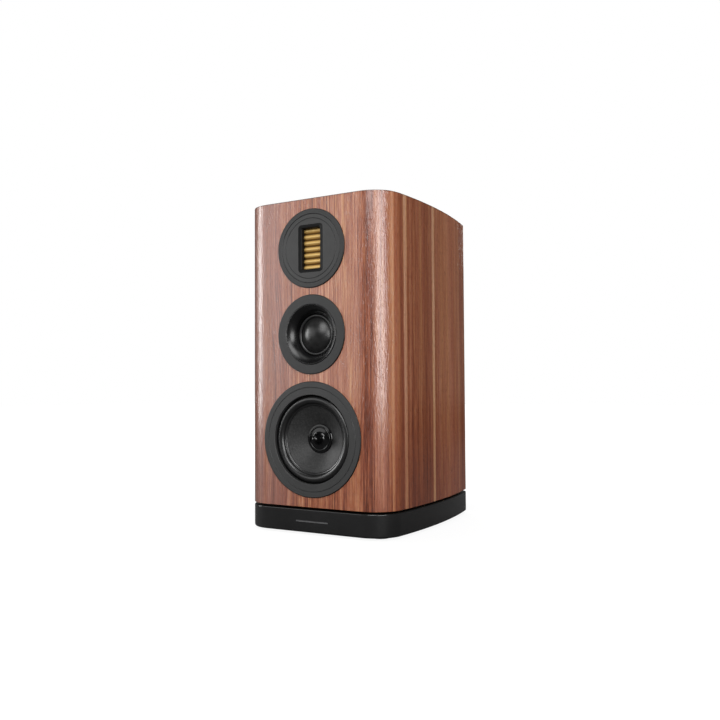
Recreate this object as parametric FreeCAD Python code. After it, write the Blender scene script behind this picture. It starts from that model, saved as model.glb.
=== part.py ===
import FreeCAD, Part
import math
import os

# Three-way bookshelf speaker on a plinth.
# Frame while modelling: x to the right as seen from the front, y from the front face towards the
# rear, z up from the floor.  Every node is moved along y at the end, so that the origin is under
# the middle of the whole depth.

# ---- driving dimensions, millimetres ----
HALF_WIDTH = 119.0       # half of the widest place of the plan outline
WIDEST_Y = 105.0         # how far behind the front the outline is widest
SIDE_R = 865.0           # bow of the side walls
CORNER_R = 40.0          # rounded front corners
REAR_R = 8.0             # rounded rear corners
DEPTH = 288.0            # front face to back face
FOOT_H = 3.0
PLINTH_H = 31.0
SLOT_H = 3.0             # slot between plinth and cabinet
CABINET_H = 418.0
VENEER = 0.8
EDGE_EASE = 0.6          # rounding of the veneer's top and bottom edges
WALL = 16.0
BAFFLE_T = 22.0
PANEL_T = 18.0
BAFFLE_HALF = 84.0
TRIM_FRONT = -1.5        # trim rings stand this far in front of the face
TRIM_BACK = 2.5
FIT = 0.2                # radial gap round parts let into the baffle

PLINTH_Z = FOOT_H
PLINTH_TOP = PLINTH_Z + PLINTH_H
CABINET_Z = PLINTH_TOP + SLOT_H
TOP_Z = CABINET_Z + CABINET_H
SKIN_TOP = TOP_Z - VENEER
BACK_FACE = DEPTH
BACK_PANEL_FRONT = DEPTH - VENEER - PANEL_T
INNER_FRONT = VENEER + BAFFLE_T

TWEETER_Z = 386.4
MID_Z = 269.6
WOOFER_Z = 128.1

# Trim radius, flange radius, back of the flange, hole in the baffle, screw circle, screw count
DRIVERS = {
    "tweeter": (TWEETER_Z, 54.0, 50.8, 6.5, 45.0, 48.0, 4),
    "mid": (MID_Z, 54.0, 50.8, 6.5, 45.0, 48.0, 4),
    "woofer": (WOOFER_Z, 78.0, 72.5, 8.5, 61.5, 67.0, 6),
}

SCREW_R = 1.6
SCREW_HEAD_R = 2.9
SCREW_HEAD_H = 1.9
SCREW_LENGTH = 16.0

PORT_Y = 190.0
PORT_R = 24.0
PORT_TOP = 147.0

BOLT_PLACES = [(sign * 72.0, y) for y in (66.0, 222.0) for sign in (-1, 1)]
FOOT_PLACES = [(sign * x, y) for x, y in ((86.0, 34.0), (80.0, 256.0)) for sign in (-1, 1)]
BOLT_R = 3.0
BOLT_HEAD_R = 5.0
BOLT_HEAD_H = 6.0
FOOT_R = 14.0
SPIGOT_R = 6.0
SPIGOT_H = 4.0

BADGE_WIDTH = 51.0
BADGE_HEIGHT = 1.8
BADGE_Z = 18.0
BADGE_POCKET = 0.4

TERMINAL_Z = 112.0
POST_X = 22.0
POST_DZ = 19.0
PLATE_T = 4.0
COLLAR_T = 2.0
LINK_T = 1.2
WASHER_T = 1.3
CAP_LENGTH = 16.0
CAP_R = 8.5
STUD_R = 4.0
STUD_TAIL_R = 3.0
RUNNING_GAP = 0.08       # radial gap between stud and the cap that runs on it
FACE_GAP = 0.05
SOCKET_R = 2.05          # takes a 4 mm plug
SOCKET_DEPTH = 20.0
PLATE_BACK = BACK_FACE + PLATE_T
COLLAR_BACK = PLATE_BACK + COLLAR_T
LINK_BACK = COLLAR_BACK + LINK_T
WASHER_FRONT = LINK_BACK + FACE_GAP
CAP_FRONT = WASHER_FRONT + WASHER_T + FACE_GAP
CAP_BACK = CAP_FRONT + CAP_LENGTH
STUD_BACK = CAP_BACK - 0.4
BOSS_FRONT = BACK_FACE - 6.0
STUD_FRONT = 262.0
NUT_H = 4.0
POSTS = {
    "hf_negative": (-POST_X, TERMINAL_Z + POST_DZ),
    "hf_positive": (POST_X, TERMINAL_Z + POST_DZ),
    "lf_negative": (-POST_X, TERMINAL_Z - POST_DZ),
    "lf_positive": (POST_X, TERMINAL_Z - POST_DZ),
}

BOARD_Z = (240.0, 400.0)
BOARD_HALF = 60.0
BOARD_T = 3.0
BOARD_FRONT = BACK_PANEL_FRONT - BOARD_T
LEAD_R = 1.2

LIP_FRONT = -1.9         # the midrange horn's rounded lip is the part furthest forward
SHIFT_Y = -(LIP_FRONT + CAP_BACK) / 2

Vector = FreeCAD.Vector


# ---- small helpers ----
def box(x, y, z):
    """Box between pairs of limits."""
    size = (x[1] - x[0], y[1] - y[0], z[1] - z[0])
    return Part.makeBox(size[0], size[1], size[2], Vector(x[0], y[0], z[0]))


def rod(x, z, radius, y0, y1):
    """Round bar along y."""
    return Part.makeCylinder(radius, y1 - y0, Vector(x, y0, z), Vector(0, 1, 0))


def post(x, y, radius, z0, z1):
    """Round bar along z."""
    return Part.makeCylinder(radius, z1 - z0, Vector(x, y, z0), Vector(0, 0, 1))


def joined(shapes):
    """One solid from several that touch."""
    whole = shapes[0].multiFuse(shapes[1:]) if len(shapes) > 1 else shapes[0]
    return whole.removeSplitter()


def group(shapes):
    """Several separate solids in one node."""
    return Part.makeCompound(shapes)


def wire_through(points, place):
    """Closed wire.  A point of two numbers ends a line, and one of four ends an arc through the
    first two.  place turns the two numbers into a point in space."""
    edges = []
    here = place(*points[0])
    for step in points[1:] + [points[0][:2]]:
        there = place(*step[-2:])
        if len(step) == 4:
            edges.append(Part.Arc(here, place(*step[:2]), there).toShape())
        elif (there - here).Length > 1e-6:
            edges.append(Part.LineSegment(here, there).toShape())
        here = there
    return Part.Wire(edges)


def turned(centre_z, profile):
    """Solid turned about a driver's axis.  The profile's points are (radius, y)."""
    wire = wire_through(profile, lambda r, y: Vector(r, y, centre_z))
    return Part.Face(wire).revolve(Vector(0, 0, centre_z), Vector(0, 1, 0), 360)


def ring(centre_z, inner, outer, y0, y1):
    """Plain flat ring on a driver's axis."""
    return turned(centre_z, [(inner, y0), (outer, y0), (outer, y1), (inner, y1)])


def rounded_rectangle(width, height, corner, centre_z, y):
    """Wire in a plane of constant y."""
    w = width / 2
    h = height / 2
    c = corner
    k = corner * (1 - math.sqrt(0.5))
    points = [
        (w - c, -h), (w - k, -h + k, w, -h + c), (w, h - c), (w - k, h - k, w - c, h),
        (c - w, h), (k - w, h - k, -w, h - c), (-w, c - h), (k - w, k - h, c - w, -h),
    ]
    return wire_through(points, lambda a, b: Vector(a, y, centre_z + b))


def plate(width, height, corner, centre_z, y0, y1):
    """Plate with rounded corners, across the y axis."""
    face = Part.Face(rounded_rectangle(width, height, corner, centre_z, y0))
    return face.extrude(Vector(0, y1 - y0, 0))


def around(shape, centre_z, count, start=0.0):
    """Copies of a shape, evenly spaced round a driver's axis."""
    copies = []
    for n in range(count):
        copy = shape.copy()
        copy.rotate(Vector(0, 0, centre_z), Vector(0, 1, 0), start + 360.0 * n / count)
        copies.append(copy)
    return copies


def edges_near(shape, test):
    """Edges whose middle passes a test."""
    return [edge for edge in shape.Edges if test(edge.CenterOfMass, edge)]


# ---- plan outline of cabinet and plinth ----
def at(centre, radius, angle):
    return (centre[0] + radius * math.cos(angle), centre[1] + radius * math.sin(angle))


def arc_step(centre, radius, start, end):
    """Arc for wire_through: its middle and its end."""
    return at(centre, radius, (start + end) / 2) + at(centre, radius, end)


def half_outline(inset):
    """Right half of the plan, from the front flat to the back flat, moved in by inset."""
    side_centre = (HALF_WIDTH - SIDE_R, WIDEST_Y)
    corner_reach = SIDE_R - CORNER_R
    corner_angle = math.asin((CORNER_R - WIDEST_Y) / corner_reach)
    corner_centre = at(side_centre, corner_reach, corner_angle)
    rear_reach = SIDE_R - REAR_R
    rear_angle = math.asin((DEPTH - REAR_R - WIDEST_Y) / rear_reach)
    points = [(corner_centre[0], inset)]
    points.append(arc_step(corner_centre, CORNER_R - inset, -math.pi / 2, corner_angle))
    side = SIDE_R - inset
    if inset < REAR_R:
        points.append(arc_step(side_centre, side, corner_angle, rear_angle))
        rear_centre = at(side_centre, rear_reach, rear_angle)
        points.append(arc_step(rear_centre, REAR_R - inset, rear_angle, math.pi / 2))
    else:
        end_angle = math.asin((DEPTH - inset - WIDEST_Y) / side)
        points.append(arc_step(side_centre, side, corner_angle, end_angle))
    return points


def mirrored(points):
    """The same stretch on the left, walked the other way."""
    result = []
    for n in range(len(points) - 1, -1, -1):
        end = points[n][-2:]
        if n == len(points) - 1:
            result.append((-end[0], end[1]))
            continue
        step = points[n + 1]
        result.append((-step[0], step[1], -end[0], end[1]))
    return result


def prism(inset, z0, z1):
    """Upright block with the plan outline moved in by inset."""
    right = half_outline(inset)
    wire = wire_through(right + mirrored(right), lambda x, y: Vector(x, y, z0))
    return Part.Face(wire).extrude(Vector(0, 0, z1 - z0))


# ---- screws ----
def screw_solid():
    """Countersunk cross-head screw, head at the origin, point towards +y."""
    profile = [
        (0, 0), (SCREW_HEAD_R, 0), (SCREW_R, SCREW_HEAD_H), (SCREW_R, SCREW_LENGTH - 2), (0, SCREW_LENGTH),
    ]
    screw = turned(0, profile)
    slot = (-1.6, 1.6)
    blade = (-0.35, 0.35)
    deep = (-1, 1.2)
    return screw.cut(box(slot, deep, blade)).cut(box(blade, deep, slot))


def screw_room():
    """What a screw takes away from the parts that it passes through."""
    profile = [(0, 0), (SCREW_HEAD_R, 0), (SCREW_R, SCREW_HEAD_H), (SCREW_R, SCREW_LENGTH), (0, SCREW_LENGTH)]
    return turned(0, profile)


def placed(shape, x, y, z, backwards=False):
    copy = shape.copy()
    if backwards:
        copy.rotate(Vector(0, 0, 0), Vector(0, 0, 1), 180)
    copy.translate(Vector(x, y, z))
    return copy


def screw_places():
    """Where the screws' heads are: x, y, z and whether the point is towards the front."""
    places = []
    for z, _, _, _, _, circle, count in DRIVERS.values():
        for n in range(count):
            angle = math.pi * (2 * n + 1) / count
            places.append((circle * math.sin(angle), TRIM_BACK, z + circle * math.cos(angle), False))
    for x in (-48.0, 48.0):
        for z in (-38.0, 38.0):
            places.append((x, PLATE_BACK, TERMINAL_Z + z, True))
    for x in (-53.0, 53.0):
        for z in (BOARD_Z[0] + 7, BOARD_Z[1] - 7):
            places.append((x, BOARD_FRONT, z, False))
    return places


def cabinet_screws():
    screw = screw_solid()
    return group([placed(screw, *place) for place in screw_places()])


def without_screws(shape):
    """The shape with room for every screw that passes through it."""
    room = screw_room()
    for place in screw_places():
        tool = placed(room, *place)
        if shape.BoundBox.intersect(tool.BoundBox):
            shape = shape.cut(tool)
    return shape


# ---- cabinet ----
def driver_room(name):
    """Stepped hole that a driver and its trim ring are let into."""
    z, trim_r, flange_r, flange_back, hole_r, _, _ = DRIVERS[name]
    front = -5.0
    steps = [(trim_r + FIT, TRIM_BACK), (flange_r + FIT, flange_back), (hole_r, INNER_FRONT + 5)]
    return joined([rod(0, z, radius, front, back) for radius, back in steps])


def front_baffle():
    sides = (-BAFFLE_HALF, BAFFLE_HALF)
    board = prism(VENEER, CABINET_Z, SKIN_TOP).common(box(sides, (0, INNER_FRONT), (CABINET_Z, SKIN_TOP)))
    for name in DRIVERS:
        board = board.cut(driver_room(name))
    return without_screws(board)


def side_panels():
    """The bowed left and right walls, a mirrored pair."""
    wall = prism(VENEER, CABINET_Z, SKIN_TOP).cut(prism(VENEER + WALL, CABINET_Z - 1, SKIN_TOP + 1))
    wall = wall.cut(box((-BAFFLE_HALF, BAFFLE_HALF), (-5, DEPTH + 5), (CABINET_Z - 1, SKIN_TOP + 1)))
    return group(wall.Solids)


def inner_slab(z0, z1):
    """Board that fills the plan between baffle, side panels and back panel."""
    core = prism(VENEER + WALL, z0, z1)
    return core.common(box((-200, 200), (INNER_FRONT, BACK_PANEL_FRONT), (z0, z1)))


def top_panel():
    return inner_slab(SKIN_TOP - PANEL_T, SKIN_TOP)


def port_profile(z_bottom):
    """Flared tube: radius and height."""
    flare = 10.0
    mouth = PORT_R + flare
    lean = flare * (1 - math.sqrt(0.5))
    wall = 2.5
    top_flare = 7.0
    top_lean = top_flare * (1 - math.sqrt(0.5))
    return [
        (mouth, z_bottom),
        (PORT_R + lean, z_bottom + lean, PORT_R, z_bottom + flare),
        (PORT_R, PORT_TOP - top_flare - 1),
        (PORT_R + top_lean, PORT_TOP - top_lean - 1, PORT_R + top_flare, PORT_TOP - 1),
        (PORT_R + top_flare, PORT_TOP),
        (PORT_R + top_flare + wall, PORT_TOP),
        (PORT_R + top_flare + wall, PORT_TOP - wall),
        (PORT_R + wall + top_lean, PORT_TOP - wall - top_lean, PORT_R + wall, PORT_TOP - top_flare - wall - 1),
        (PORT_R + wall, z_bottom + PANEL_T),
        (PORT_R + 6, z_bottom + PANEL_T),
        (PORT_R + 6, z_bottom + 4),
        (mouth + 4, z_bottom + 4),
        (mouth + 4, z_bottom),
    ]


def port_tube():
    wire = wire_through(port_profile(CABINET_Z), lambda r, z: Vector(r, PORT_Y, z))
    return Part.Face(wire).revolve(Vector(0, PORT_Y, 0), Vector(0, 0, 1), 360)


def bottom_panel():
    board = inner_slab(CABINET_Z, CABINET_Z + PANEL_T)
    board = board.cut(post(0, PORT_Y, PORT_R + 6, CABINET_Z - 1, CABINET_Z + PANEL_T + 1))
    board = board.cut(post(0, PORT_Y, PORT_R + 14, CABINET_Z - 1, CABINET_Z + 4))
    for x, y in BOLT_PLACES:
        board = board.cut(post(x, y, BOLT_R, CABINET_Z - 1, CABINET_Z + 13))
    return board


def back_panel():
    sides = (-BAFFLE_HALF, BAFFLE_HALF)
    rear = (BACK_PANEL_FRONT, DEPTH)
    board = prism(VENEER, CABINET_Z, SKIN_TOP).common(box(sides, rear, (CABINET_Z, SKIN_TOP)))
    return without_screws(board.cut(terminal_opening()))


def shelf_brace():
    """Horizontal brace with round windows between woofer and midrange."""
    z0 = 203.0
    board = inner_slab(z0, z0 + 12)
    windows = [(0, 66), (0, 118), (0, 170)]
    windows += [(sign * 62, y) for y in (66, 118, 170) for sign in (-1, 1)]
    for x, y in windows:
        board = board.cut(post(x, y, 21, z0 - 1, z0 + 13))
    for sign in (-1, 1):
        board = board.cut(post(sign * 27, 238, 20, z0 - 1, z0 + 13))
    return board


def eased_block():
    """The finished cabinet's outside, with its top and bottom edges eased."""
    block = prism(0, CABINET_Z, TOP_Z)
    rims = edges_near(block, lambda c, e: min(abs(c.z - CABINET_Z), abs(c.z - TOP_Z)) < 0.01)
    return block.makeFillet(EDGE_EASE, rims)


def back_flat():
    """Room of the flat stretch of the back, as deep as the veneer."""
    flat = half_outline(0)[-1][-2]
    return box((-flat, flat), (DEPTH - VENEER, DEPTH + 5), (CABINET_Z - 1, TOP_Z + 1))


def walnut_wrap():
    """Veneer round the front, both sides and the rear corners."""
    skin = eased_block().cut(prism(VENEER, CABINET_Z - 1, TOP_Z + 1)).cut(back_flat())
    for name in DRIVERS:
        skin = skin.cut(driver_room(name))
    return skin


def walnut_back():
    sheet = eased_block().common(back_flat())
    return without_screws(sheet.cut(terminal_opening()))


def walnut_top():
    return prism(VENEER, SKIN_TOP, TOP_Z)


# ---- plinth ----
def plinth_body():
    block = prism(0, PLINTH_Z, PLINTH_TOP)
    low = edges_near(block, lambda c, e: abs(c.z - PLINTH_Z) < 0.01)
    block = block.makeFillet(3.0, low)
    high = edges_near(block, lambda c, e: abs(c.z - PLINTH_TOP) < 0.01)
    block = block.makeFillet(1.2, high)
    half = BADGE_WIDTH / 2
    tall = (BADGE_Z - BADGE_HEIGHT / 2, BADGE_Z + BADGE_HEIGHT / 2)
    block = block.cut(box((-half, half), (-1, BADGE_POCKET), tall))
    for x, y in BOLT_PLACES:
        block = block.cut(post(x, y, BOLT_R, PLINTH_Z - 1, PLINTH_TOP + 1))
        block = block.cut(post(x, y, BOLT_HEAD_R, PLINTH_Z - 1, PLINTH_Z + 1 + BOLT_HEAD_H))
    for x, y in FOOT_PLACES:
        block = block.cut(post(x, y, SPIGOT_R, PLINTH_Z - 1, PLINTH_Z + SPIGOT_H))
    return block


def plinth_spacers():
    discs = []
    for x, y in BOLT_PLACES:
        disc = post(x, y, FOOT_R, PLINTH_TOP, CABINET_Z)
        discs.append(disc.cut(post(x, y, BOLT_R, PLINTH_TOP - 1, CABINET_Z + 1)))
    return group(discs)


def plinth_bolts():
    """Socket-head bolts from under the plinth into the bottom panel."""
    bolts = []
    head_z = PLINTH_Z + 1
    for x, y in BOLT_PLACES:
        head = post(x, y, BOLT_HEAD_R, head_z, head_z + BOLT_HEAD_H)
        shank = post(x, y, BOLT_R, head_z + BOLT_HEAD_H, CABINET_Z + 13)
        bolt = joined([head, shank])
        key = Part.Face(Part.makePolygon([
            Vector(x + 2.9 * math.cos(math.pi * n / 3), y + 2.9 * math.sin(math.pi * n / 3), head_z)
            for n in range(7)
        ])).extrude(Vector(0, 0, 3))
        bolts.append(bolt.cut(key))
    return group(bolts)


def rubber_feet():
    feet = []
    chamfer = 0.6
    for x, y in FOOT_PLACES:
        profile = [
            (0, 0), (FOOT_R - chamfer, 0), (FOOT_R, chamfer), (FOOT_R, FOOT_H),
            (SPIGOT_R, FOOT_H), (SPIGOT_R, FOOT_H + SPIGOT_H), (0, FOOT_H + SPIGOT_H),
        ]
        wire = wire_through(profile, lambda r, z: Vector(x + r, y, z))
        feet.append(Part.Face(wire).revolve(Vector(x, y, 0), Vector(0, 0, 1), 360))
    return group(feet)


def badge_bar():
    half = BADGE_WIDTH / 2
    tall = (BADGE_Z - BADGE_HEIGHT / 2, BADGE_Z + BADGE_HEIGHT / 2)
    return box((-half, half), (-0.4, BADGE_POCKET), tall)


# ---- tweeter ----
def trim_ring(centre_z, inner, outer, groove):
    """Flat ring with eased edges and a fine turned groove."""
    front = TRIM_FRONT
    ease = 0.4
    profile = [(inner, TRIM_BACK), (inner, front + ease), (inner + ease, front)]
    if groove:
        profile += [(groove - ease, front), (groove, front + ease), (groove + ease, front)]
    profile += [(outer - 0.9, front), (outer - 0.25, front + 0.25, outer, front + 0.9), (outer, TRIM_BACK)]
    return turned(centre_z, profile)


OPENING = (39.6, 65.2)       # width and height of the hole in the faceplate, filled by the frame
OPENING_CORNER = 5.0
WINDOW = (29.6, 56.2)        # clear width and height inside the frame
WINDOW_CORNER = 2.5
WINDOW_STEPS = [             # how far the frame's face stands outside the window, and its y
    (4.6, -1.2), (2.6, -0.9), (0.9, -0.4), (0.0, 0.5),
]
REBATE = (34.0, 59.6)        # wider room behind the window, where the pleats stand
REBATE_FRONT = 5.6
FACEPLATE_BACK = 9.7
FACEPLATE_FRONT = -1.2


def tweeter_faceplate():
    front = FACEPLATE_FRONT
    disc = turned(TWEETER_Z, [
        (0, front), (40.6, front), (41.0, front + 0.4), (41.4, front), (46.4, front),
        (46.8, front + 0.4), (46.8, TRIM_BACK), (50.8, TRIM_BACK), (50.8, 6.5), (44.6, 6.5),
        (44.6, FACEPLATE_BACK), (0, FACEPLATE_BACK),
    ])
    gap = 0.1
    width, height = OPENING
    hole = plate(width + 2 * gap, height + 2 * gap, OPENING_CORNER + gap, TWEETER_Z, front - 1, FACEPLATE_BACK + 1)
    return without_screws(disc.cut(hole))


def tweeter_window_frame():
    """Frame let into the faceplate: rounded face, straight throat, and a rebate for the pleats."""
    frame = plate(*OPENING, OPENING_CORNER, TWEETER_Z, FACEPLATE_FRONT, FACEPLATE_BACK)
    frame = frame.cut(plate(*WINDOW, WINDOW_CORNER, TWEETER_Z, FACEPLATE_FRONT - 1, FACEPLATE_BACK + 1))
    frame = frame.cut(plate(*REBATE, 0.8, TWEETER_Z, REBATE_FRONT, FACEPLATE_BACK + 1))
    width, height = WINDOW
    for (wide, front), (narrow, back) in zip(WINDOW_STEPS, WINDOW_STEPS[1:]):
        wires = [
            rounded_rectangle(width + 2 * out, height + 2 * out, WINDOW_CORNER + out / 2, TWEETER_Z, y)
            for out, y in ((wide, front), (narrow, back))
        ]
        frame = frame.cut(Part.makeLoft(wires, True))
    return frame


PLEATS = 7
PLEAT_PITCH = 8.4
PLEAT_FRONT = 6.1
PLEAT_BACK = 9.7
DIAPHRAGM_HALF = 16.5


def tweeter_diaphragm():
    """Folded film: a row of rounded pleats with a flat tab at each end."""
    film = 0.5
    tab = 2.0
    start = -PLEATS * PLEAT_PITCH / 2
    front = [(start - tab, PLEAT_BACK), (start, PLEAT_BACK)]
    for n in range(PLEATS):
        low = start + n * PLEAT_PITCH
        front.append((low + PLEAT_PITCH / 2, PLEAT_FRONT, low + PLEAT_PITCH, PLEAT_BACK))
    front.append((-start + tab, PLEAT_BACK))
    back = [(-start + tab, PLEAT_BACK + film), (-start, PLEAT_BACK + film)]
    for n in range(PLEATS):
        high = -start - n * PLEAT_PITCH
        middle = (high - PLEAT_PITCH / 2, PLEAT_FRONT + film)
        back.append(middle + (high - PLEAT_PITCH, PLEAT_BACK + film))
    back.append((start - tab, PLEAT_BACK + film))
    wire = wire_through(front + back, lambda h, y: Vector(-DIAPHRAGM_HALF, y, TWEETER_Z + h))
    return Part.Face(wire).extrude(Vector(2 * DIAPHRAGM_HALF, 0, 0))


HOUSING_BACK = 36.0
HOUSING_HALF = (28.0, 34.0)
HOUSING_INNER = (26.0, 31.5)
CUP_BACK = 50.0


def tweeter_housing():
    """Steel tray behind the faceplate."""
    w, h = HOUSING_HALF
    a, b = HOUSING_INNER
    outer = box((-w, w), (FACEPLATE_BACK, HOUSING_BACK), (TWEETER_Z - h, TWEETER_Z + h))
    inner = box((-a, a), (FACEPLATE_BACK, HOUSING_BACK - 3), (TWEETER_Z - b, TWEETER_Z + b))
    vent = box((-10, 10), (HOUSING_BACK - 4, HOUSING_BACK + 1), (TWEETER_Z - 24, TWEETER_Z + 24))
    return outer.cut(inner).cut(vent)


def tweeter_magnets():
    """Two bars beside the diaphragm."""
    height = (TWEETER_Z - HOUSING_INNER[1], TWEETER_Z + HOUSING_INNER[1])
    deep = (FACEPLATE_BACK, HOUSING_BACK - 3)
    near = DIAPHRAGM_HALF + 1
    far = HOUSING_INNER[0]
    return group([box((near, far), deep, height), box((-far, -near), deep, height)])


def tweeter_rear_cup():
    outer = plate(48, 60, 4, TWEETER_Z, HOUSING_BACK, CUP_BACK)
    inner = plate(43, 55, 3, TWEETER_Z, HOUSING_BACK - 1, CUP_BACK - 2.5)
    return outer.cut(inner)


# ---- midrange ----
DOME_R = 24.0
DOME_APEX = 3.2
DOME_BASE = 13.2
THROAT_R = 28.6
MID_PLATE = (15.5, 20.5)
MID_MAGNET_BACK = 34.5
MID_YOKE_BACK = 40.0
MID_CUP_BACK = 84.0


def dome_y(radius, base_r, apex, base):
    """Height of a spherical cap that passes its apex and its base circle."""
    rise = base - apex
    ball = (base_r ** 2 + rise ** 2) / (2 * rise)
    return apex + ball - math.sqrt(ball ** 2 - radius ** 2)


def mid_horn():
    """Faceplate whose rounded lip runs down a flare to the dome."""
    horn = turned(MID_Z, [
        (40.8, TRIM_BACK), (40.8, -1.0), (40.0, LIP_FRONT, 39.0, -1.1),
        (32.2, 4.2, THROAT_R, 12.5), (THROAT_R, MID_PLATE[0]), (44.5, MID_PLATE[0]),
        (44.5, 6.5), (50.8, 6.5), (50.8, TRIM_BACK),
    ])
    return without_screws(horn)


def mid_dome():
    """Thin cap with a collar for the former.  A tiny flat replaces its very middle."""
    film = 0.5
    half = DOME_R / 2
    flat = 0.6
    return turned(MID_Z, [
        (0, DOME_APEX), (flat, DOME_APEX), (half, dome_y(half, DOME_R, DOME_APEX, DOME_BASE), DOME_R, DOME_BASE),
        (DOME_R, DOME_BASE + 1), (DOME_R - film, DOME_BASE + 1), (DOME_R - film, DOME_BASE + 0.2),
        (half, dome_y(half, DOME_R, DOME_APEX, DOME_BASE) + film, flat, DOME_APEX + film), (0, DOME_APEX + film),
    ])


def mid_surround():
    """Half roll between dome and horn."""
    base = DOME_BASE + 0.2
    middle = (DOME_R + THROAT_R) / 2
    return turned(MID_Z, [
        (DOME_R + 0.05, base), (middle, base - 2.3, THROAT_R - 0.05, base),
        (THROAT_R - 0.6, base), (middle, base - 1.8, DOME_R + 0.6, base),
    ])


def mid_voice_coil():
    """Former and its winding."""
    former = ring(MID_Z, DOME_R - 0.5, DOME_R, DOME_BASE + 1, 26)
    winding = ring(MID_Z, DOME_R, DOME_R + 0.8, 16.5, 24)
    return group([former, winding])


def mid_top_plate():
    return ring(MID_Z, DOME_R + 1.5, 42, *MID_PLATE)


def mid_magnet():
    return ring(MID_Z, 29, 41, MID_PLATE[1], MID_MAGNET_BACK)


def mid_yoke():
    """Back plate and pole in one turned piece, with a vent through its middle."""
    pole = DOME_R - 1.2
    return turned(MID_Z, [
        (8, MID_PLATE[0] + 0.5), (pole, MID_PLATE[0] + 0.5), (pole, MID_MAGNET_BACK),
        (42, MID_MAGNET_BACK), (42, MID_YOKE_BACK), (8, MID_YOKE_BACK),
    ])


def mid_rear_chamber():
    wall = 3.0
    outer = 42.0
    round_r = 6.0
    lean = round_r * (1 - math.sqrt(0.5))
    return turned(MID_Z, [
        (outer - wall, MID_YOKE_BACK), (outer, MID_YOKE_BACK), (outer, MID_CUP_BACK - round_r),
        (outer - lean, MID_CUP_BACK - lean, outer - round_r, MID_CUP_BACK), (0, MID_CUP_BACK),
        (0, MID_CUP_BACK - wall), (outer - wall, MID_CUP_BACK - wall),
    ])


# ---- woofer ----
CONE_EDGE = (46.2, 7.6)      # radius and y of the cone's outer edge
CONE_NECK = (16.3, 23.6)
CONE_T = 0.9
WOOFER_INNER_TRIM = 60.0
ROLL_CREST = 1.0
ROLL_MIDDLE = 53.3         # radius of the surround's crest
SPIDER_Y = 35.0
BASKET_BACK = 46.0
WOOFER_PLATE_BACK = 52.0
WOOFER_MAGNET_BACK = 66.0
WOOFER_YOKE_BACK = 72.0
COIL_R = 15.7


def woofer_basket():
    """Cast frame: flange, six legs and a rear ring that carries spider and motor."""
    frame = turned(WOOFER_Z, [
        (60.2, TRIM_BACK), (72.5, TRIM_BACK), (72.5, 8.5), (61.2, 8.5), (61.2, 14), (47, 40),
        (47, BASKET_BACK), (22, BASKET_BACK), (22, 43), (37.5, 43), (37.5, 35.5), (42, 35.5),
        (57.4, 13), (57.4, 6.8), (60.2, 6.8),
    ])
    window = box((-15.5, 15.5), (16, 33), (WOOFER_Z + 38, WOOFER_Z + 70))
    for tool in around(window, WOOFER_Z, 6):
        frame = frame.cut(tool)
    return without_screws(frame)


def woofer_surround():
    """Rubber half roll with a lip on the basket and a lip on the cone."""
    return turned(WOOFER_Z, [
        (60.1, 5.9), (59.0, 5.9), (ROLL_MIDDLE, ROLL_CREST, 47.6, 6.4), (45.3, 6.7), (45.3, 7.5),
        (48.3, 7.5), (ROLL_MIDDLE, ROLL_CREST + 0.8, 58.2, 6.7), (60.1, 6.7),
    ])


def woofer_cone():
    edge_r, edge_y = CONE_EDGE
    neck_r, neck_y = CONE_NECK
    return turned(WOOFER_Z, [
        (47.8, edge_y), (edge_r, edge_y), (neck_r, neck_y), (neck_r, neck_y + CONE_T + 0.3),
        (edge_r - 0.3, edge_y + CONE_T + 0.3), (47.8, edge_y + CONE_T),
    ])


def woofer_centre_cap():
    """Slim bullet that rises from a shallow dish with a rolled rim.  All one thin shell."""
    return turned(WOOFER_Z, [
        (0, 4.6), (0.5, 4.63), (3.6, 6.13, 4.95, 9.0), (6.1, 13.8), (7.5, 17.4, 11.0, 19.3),
        (14.6, 19.9), (15.8, 18.9, 17.0, 19.9), (19.2, 20.2), (19.8, 20.8), (19.8, 21.65), (18.0, 22.6),
        (16.8, 22.6), (16.8, 21.1), (10.6, 20.4), (6.5, 18.3, 5.0, 14.1), (3.9, 9.3),
        (2.6, 7.1, 0.5, 5.85), (0, 5.8),
    ])


def woofer_voice_coil():
    """Former and its winding."""
    former = ring(WOOFER_Z, COIL_R, COIL_R + 0.5, CONE_NECK[1], 58)
    winding = ring(WOOFER_Z, COIL_R + 0.5, COIL_R + 1.3, 42, 56)
    return group([former, winding])


def woofer_spider():
    """Corrugated cloth disc between former and basket."""
    cloth = 0.5
    inner = COIL_R + 0.7
    waves = 9
    pitch = 2.0
    start = 18.2
    front = [(inner, SPIDER_Y), (start, SPIDER_Y)]
    for n in range(waves):
        swing = 1.1 if n % 2 else -1.1
        middle = (start + (n + 0.5) * pitch, SPIDER_Y + swing)
        front.append(middle + (start + (n + 1) * pitch, SPIDER_Y))
    end = start + waves * pitch
    front.append((41.8, SPIDER_Y))
    back = [(41.8, SPIDER_Y + cloth), (end, SPIDER_Y + cloth)]
    for n in range(waves - 1, -1, -1):
        swing = 1.1 if n % 2 else -1.1
        middle = (start + (n + 0.5) * pitch, SPIDER_Y + cloth + swing)
        back.append(middle + (start + n * pitch, SPIDER_Y + cloth))
    back.append((inner, SPIDER_Y + cloth))
    return turned(WOOFER_Z, front + back)


def woofer_top_plate():
    return ring(WOOFER_Z, COIL_R + 2.0, 42, BASKET_BACK, WOOFER_PLATE_BACK)


def woofer_magnet():
    return ring(WOOFER_Z, 24, 41, WOOFER_PLATE_BACK, WOOFER_MAGNET_BACK)


def woofer_yoke():
    pole = COIL_R - 0.7
    return turned(WOOFER_Z, [
        (5, BASKET_BACK), (pole, BASKET_BACK), (pole, WOOFER_MAGNET_BACK), (42, WOOFER_MAGNET_BACK),
        (42, WOOFER_YOKE_BACK - 1), (41, WOOFER_YOKE_BACK), (5, WOOFER_YOKE_BACK),
    ])


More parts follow.
